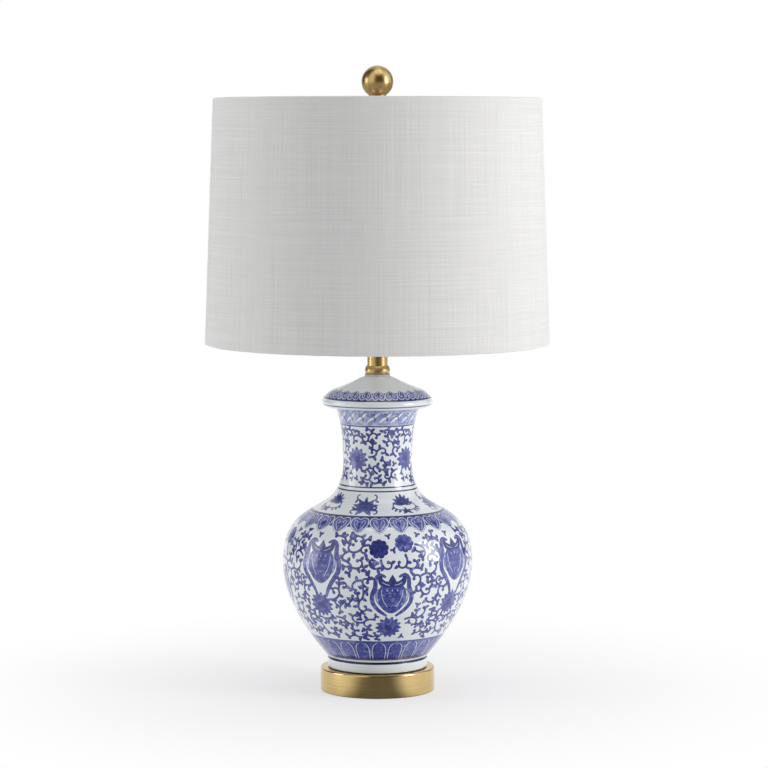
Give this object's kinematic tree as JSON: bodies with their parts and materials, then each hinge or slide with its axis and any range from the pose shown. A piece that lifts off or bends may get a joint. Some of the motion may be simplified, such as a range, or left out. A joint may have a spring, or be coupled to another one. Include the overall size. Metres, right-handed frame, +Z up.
{
  "type": "ginger jar table lamp",
  "caption": "Table lamp with a painted porcelain ginger jar and lid on a round brass base, a harp, lamp holder and bulb, and a linen drum shade held by a ball finial.",
  "frame": {"origin": "on the table under the lamp's axis", "axes": "+Z up along the rod, -Y towards the viewer and the switch key, +Y towards the cord's grommet, X across the harp"},
  "size_m": [0.3783, 0.3784, 0.687],
  "materials": {
    "brushed_brass": "brushed satin",
    "brass_plain": "plated, semi-bright",
    "felt": "felted",
    "fibre_board": "raw",
    "black_rubber": "matt",
    "grey_rubber": "matt",
    "zinc_steel": "zinc plated",
    "black_plastic": "moulded",
    "white_plastic": "moulded",
    "painted_porcelain": "blue and white, clear glaze",
    "card": "pressed",
    "thread_aluminium": "rolled thread",
    "opal_globe": "frosted",
    "linen": "slubbed linen weave",
    "styrene": "smooth",
    "white_wire": "white enamel"
  },
  "bodies": {
    "lamp": {"base_pan": "brushed_brass", "base_felt": "felt", "base_board": "fibre_board", "cord_grommet": "black_rubber", "base_washer": "zinc_steel", "base_locknut": "brass_plain", "threaded_rod": "zinc_steel", "rod_bushing": "black_plastic", "foot_gasket": "felt", "jar_body": "painted_porcelain", "jar_lid": "painted_porcelain", "lid_washer": "grey_rubber", "neck_bead": "brushed_brass", "neck_tube": "brushed_brass", "neck_cap": "brushed_brass", "harp_saddle": "brass_plain", "harp_bow": "brass_plain", "harp_top": "brass_plain", "socket_cap": "brass_plain", "socket_shell": "brass_plain", "socket_liner": "card", "socket_core": "black_plastic", "terminal_screws": "brass_plain", "screw_shell": "thread_aluminium", "centre_contact": "brass_plain"},
    "switch": {"switch_spindle": "brass_plain", "switch_key": "black_plastic"},
    "ferrule_left": {"harp_ferrule_left": "brass_plain"},
    "ferrule_right": {"harp_ferrule_right": "brass_plain"},
    "bulb_base": {"bulb_cap": "thread_aluminium", "bulb_contact": "brass_plain"},
    "bulb": {"bulb_housing": "white_plastic", "bulb_globe": "opal_globe"},
    "shade": {"shade_cloth": "linen", "shade_lining": "styrene", "shade_ring_top": "white_wire", "shade_ring_bottom": "white_wire", "shade_hem_top": "linen", "shade_hem_bottom": "linen", "spider_washer": "brass_plain", "spider_arms": "brass_plain"},
    "finial_foot": {"finial_collar": "brushed_brass"},
    "finial": {"finial_ball": "brushed_brass"}
  },
  "joints": [
    {"name": "switch_turn", "type": "hinge", "parent": "lamp", "child": "switch", "pos_m": [0, -0.03, 0.4209], "axis": [0, -1, 0], "continuous": true},
    {"name": "ferrule_left_slide", "type": "slide", "parent": "lamp", "child": "ferrule_left", "axis": [0, 0, 1], "range_m": [0, 0.016]},
    {"name": "ferrule_right_slide", "type": "slide", "parent": "lamp", "child": "ferrule_right", "axis": [0, 0, 1], "range_m": [0, 0.016]},
    {"name": "bulb_rise", "type": "slide", "parent": "lamp", "child": "bulb_base", "axis": [0, 0, 1], "range_m": [0, 0.01815]},
    {"name": "bulb_turn", "type": "hinge", "parent": "bulb_base", "child": "bulb", "pos_m": [0, 0, 0.4276], "axis": [0, 0, 1], "range_deg": [0, 1804]},
    {"name": "shade_swivel", "type": "hinge", "parent": "lamp", "child": "shade", "pos_m": [0, 0, 0.637], "axis": [0, 0, 1], "continuous": true},
    {"name": "finial_rise", "type": "slide", "parent": "lamp", "child": "finial_foot", "axis": [0, 0, 1], "range_m": [0, 0.01129]},
    {"name": "finial_turn", "type": "hinge", "parent": "finial_foot", "child": "finial", "pos_m": [0, 0, 0.637], "axis": [0, 0, 1], "range_deg": [0, 4328]}
  ],
  "couplings": [
    {"joint": "bulb_turn", "follows": "bulb_rise", "rad_per_m": 1730.9},
    {"joint": "finial_turn", "follows": "finial_rise", "rad_per_m": 6679}
  ]
}
